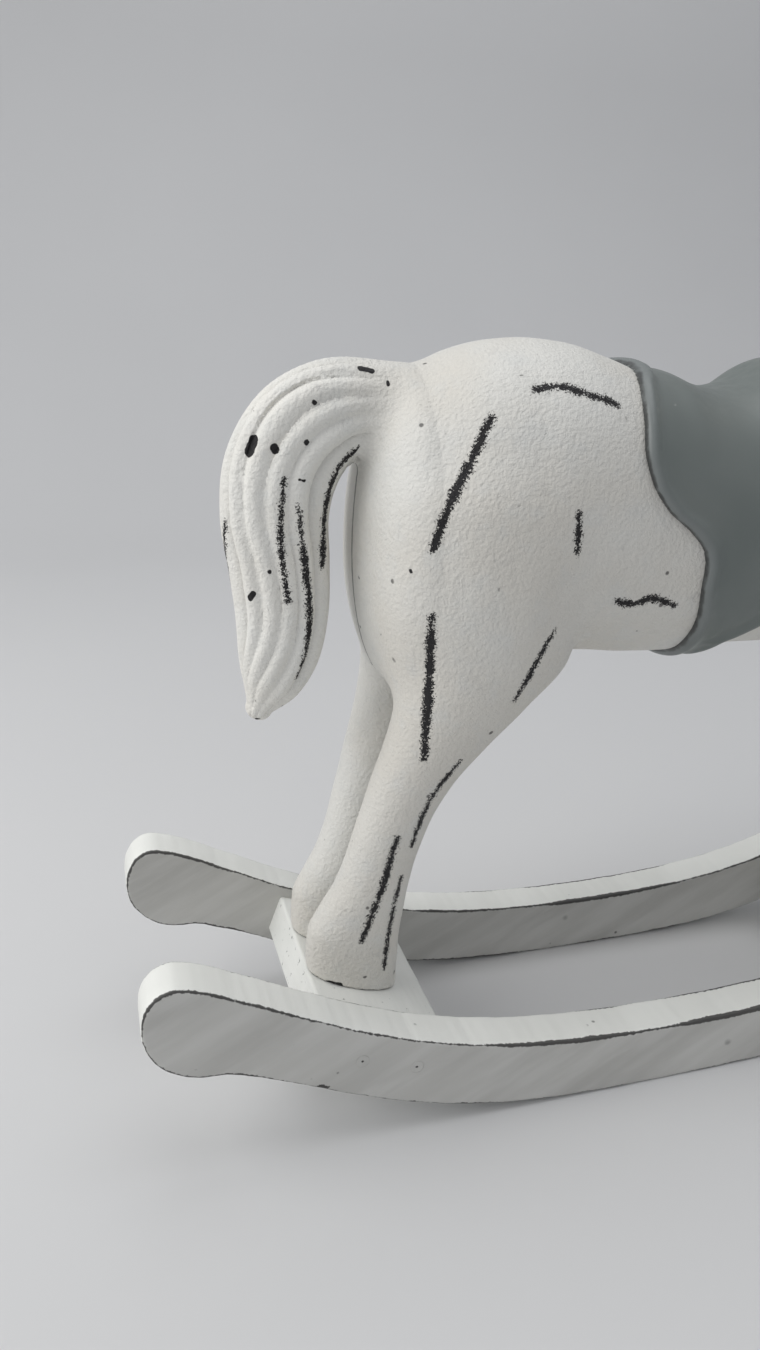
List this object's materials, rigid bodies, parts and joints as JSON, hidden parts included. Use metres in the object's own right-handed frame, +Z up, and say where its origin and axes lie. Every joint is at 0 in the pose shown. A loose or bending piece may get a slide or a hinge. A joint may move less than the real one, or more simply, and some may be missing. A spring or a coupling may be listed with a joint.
{
  "type": "rocking horse",
  "caption": "Small cast horse with a moulded saddle cloth, standing on slats between two curved wooden rocker boards; chalky white finish with dark worn marks.",
  "frame": {"origin": "on the floor, under the middle of the rocker base, at its lowest line", "axes": "+X from tail to head along the rockers, +Y to the horse's left, +Z up"},
  "size_m": [0.1662, 0.042, 0.15],
  "materials": {
    "chalk_white": "chalky white paint over cast resin, sanded through to dark marks",
    "saddle_grey": "smooth satin grey-green moulded skin",
    "rocker_wood": "grey brushed wash on the faces, white painted edges, worn dark arrises",
    "slat_wood": "white paint",
    "peg_wood": "plain beech dowel",
    "steel": "plain steel fasteners, heads painted over"
  },
  "bodies": {
    "root": {"body_right_half": "chalk_white", "body_left_half": "chalk_white", "body_pegs": "peg_wood", "tail": "chalk_white", "mane": "chalk_white", "saddle_cloth": "saddle_grey", "rocker_right": "rocker_wood", "rocker_left": "rocker_wood", "rear_slat": "slat_wood", "front_slat": "slat_wood", "slat_brads": "steel", "hoof_screws": "steel"}
  },
  "joints": []
}
